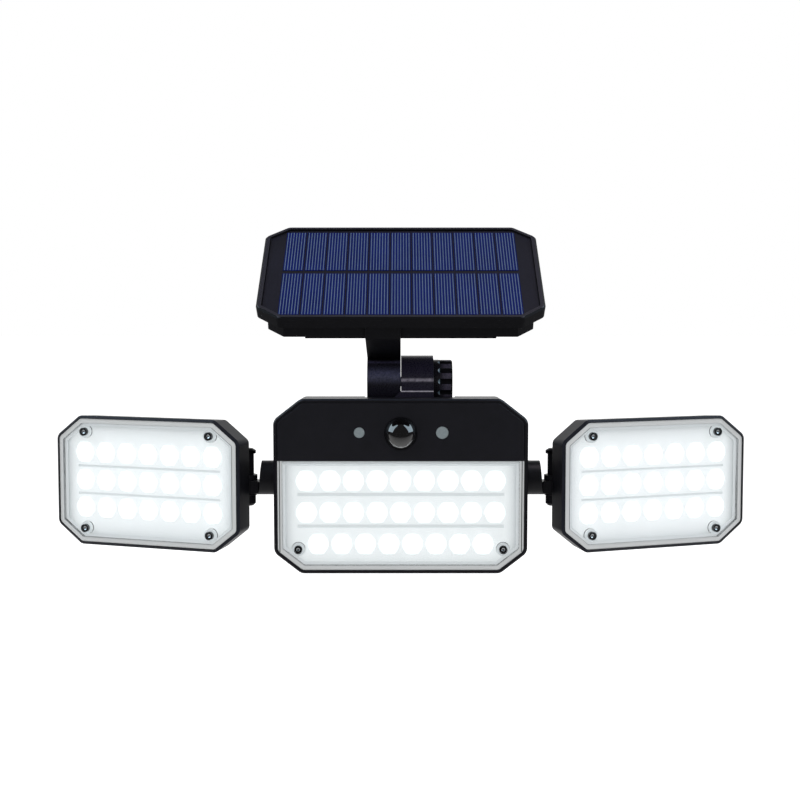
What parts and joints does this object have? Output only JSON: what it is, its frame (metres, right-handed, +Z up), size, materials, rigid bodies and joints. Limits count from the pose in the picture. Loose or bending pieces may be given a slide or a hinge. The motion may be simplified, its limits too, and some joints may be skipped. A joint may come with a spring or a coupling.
{
  "type": "motion sensor security light",
  "caption": "Wall-mounted solar security light: a wide lamp head with a motion sensor dome, a swivelling lamp head on each side, and a tilting solar panel on a clamp hinge.",
  "frame": {"origin": "centre of the wall plate's rear face, which lies on the wall", "axes": "+X to the right as seen from the front, +Y into the wall, +Z up; the lamps face -Y"},
  "size_m": [0.4082, 0.1072, 0.1986],
  "materials": {
    "black_abs": "fine moulded satin",
    "grained_black_abs": "fine moulded grain",
    "smoked_lens": "polished smoked dome",
    "grey_diffuser": "frosted grey plug",
    "clear_cover": "clear moulded polycarbonate",
    "pale_reflector": "pale satin moulding",
    "lit_lens": "clear lens, lit cool white",
    "lamp_board": "white solder mask",
    "lamp_chip": "phosphor chip",
    "circuit_board": "green solder mask",
    "cell_sleeve": "sleeved steel can",
    "nickel_can": "nickel plated",
    "zinc_steel": "zinc plated",
    "dark_screw": "blackened with a bright recess",
    "bright_screw": "nickel plated",
    "brass_insert": "turned",
    "seal_rubber": "soft moulded",
    "button_rubber": "soft moulded",
    "cell_backing": "resin-coated black backing",
    "solar_cell": "dark blue silicon with silver lines"
  },
  "bodies": {
    "main_head": {"wall_plate": "black_abs", "plate_lock_screw": "zinc_steel", "main_housing": "black_abs", "rear_cover": "black_abs", "rear_cover_screws": "zinc_steel", "sensor_fascia": "grained_black_abs", "sensor_dome": "smoked_lens", "sensor_can": "nickel_can", "light_sensor_window": "grey_diffuser", "indicator_window": "grey_diffuser", "control_board": "circuit_board", "battery_cells": "cell_sleeve", "battery_cradle": "black_abs", "mode_switch": "black_abs", "hinge_bolt": "zinc_steel", "hinge_washer": "zinc_steel", "main_cover": "clear_cover", "main_gasket": "seal_rubber", "main_reflector": "pale_reflector", "main_lenses": "lit_lens", "main_lamp_board": "lamp_board", "main_lamp_chips": "lamp_chip", "main_cover_screws": "dark_screw"},
    "solar_panel": {"panel_frame": "black_abs", "panel_tray": "black_abs", "panel_screws": "zinc_steel", "panel_gasket": "seal_rubber", "solar_laminate": "cell_backing", "solar_cells": "solar_cell", "panel_arm": "black_abs"},
    "knob": {"clamp_knob": "black_abs", "knob_insert": "brass_insert"},
    "button": {"mode_button": "button_rubber"},
    "left_side_arm": {"left_arm": "black_abs", "left_arm_clip": "zinc_steel", "left_arm_seal": "seal_rubber"},
    "left_side_head": {"left_housing": "black_abs", "left_cover": "clear_cover", "left_gasket": "seal_rubber", "left_reflector": "pale_reflector", "left_lenses": "lit_lens", "left_lamp_board": "lamp_board", "left_lamp_chips": "lamp_chip", "left_cover_screws": "bright_screw", "left_pivot_screw": "black_abs", "left_detent_ring": "black_abs"},
    "right_side_arm": {"right_arm": "black_abs", "right_arm_clip": "zinc_steel", "right_arm_seal": "seal_rubber"},
    "right_side_head": {"right_housing": "black_abs", "right_cover": "clear_cover", "right_gasket": "seal_rubber", "right_reflector": "pale_reflector", "right_lenses": "lit_lens", "right_lamp_board": "lamp_board", "right_lamp_chips": "lamp_chip", "right_cover_screws": "bright_screw", "right_pivot_screw": "black_abs", "right_detent_ring": "black_abs"}
  },
  "joints": [
    {"name": "panel_tilt", "type": "hinge", "parent": "main_head", "child": "solar_panel", "pos_m": [0, -0.04, 0.0572], "axis": [1, 0, 0], "range_deg": [-10, 35]},
    {"name": "clamp_knob_turn", "type": "hinge", "parent": "main_head", "child": "knob", "pos_m": [0, -0.04, 0.0572], "axis": [1, 0, 0], "continuous": true},
    {"name": "mode_button_press", "type": "slide", "parent": "main_head", "child": "button", "axis": [0, 0, 1], "range_m": [0, 0.0012], "stiffness_N_per_m": 400, "springref_m": -0.001},
    {"name": "left_arm_tilt", "type": "hinge", "parent": "main_head", "child": "left_side_arm", "pos_m": [-0.0756, -0.058, 0.0027], "axis": [1, 0, 0], "range_deg": [-45, 45]},
    {"name": "left_head_swing", "type": "hinge", "parent": "left_side_arm", "child": "left_side_head", "pos_m": [-0.0892, -0.058, 0.0027], "axis": [0, -0.0262, -0.9997], "range_deg": [-25, 12]},
    {"name": "right_arm_tilt", "type": "hinge", "parent": "main_head", "child": "right_side_arm", "pos_m": [0.0756, -0.058, 0.0027], "axis": [1, 0, 0], "range_deg": [-45, 45]},
    {"name": "right_head_swing", "type": "hinge", "parent": "right_side_arm", "child": "right_side_head", "pos_m": [0.0892, -0.058, 0.0027], "axis": [0, 0.0262, 0.9997], "range_deg": [-25, 12]}
  ]
}
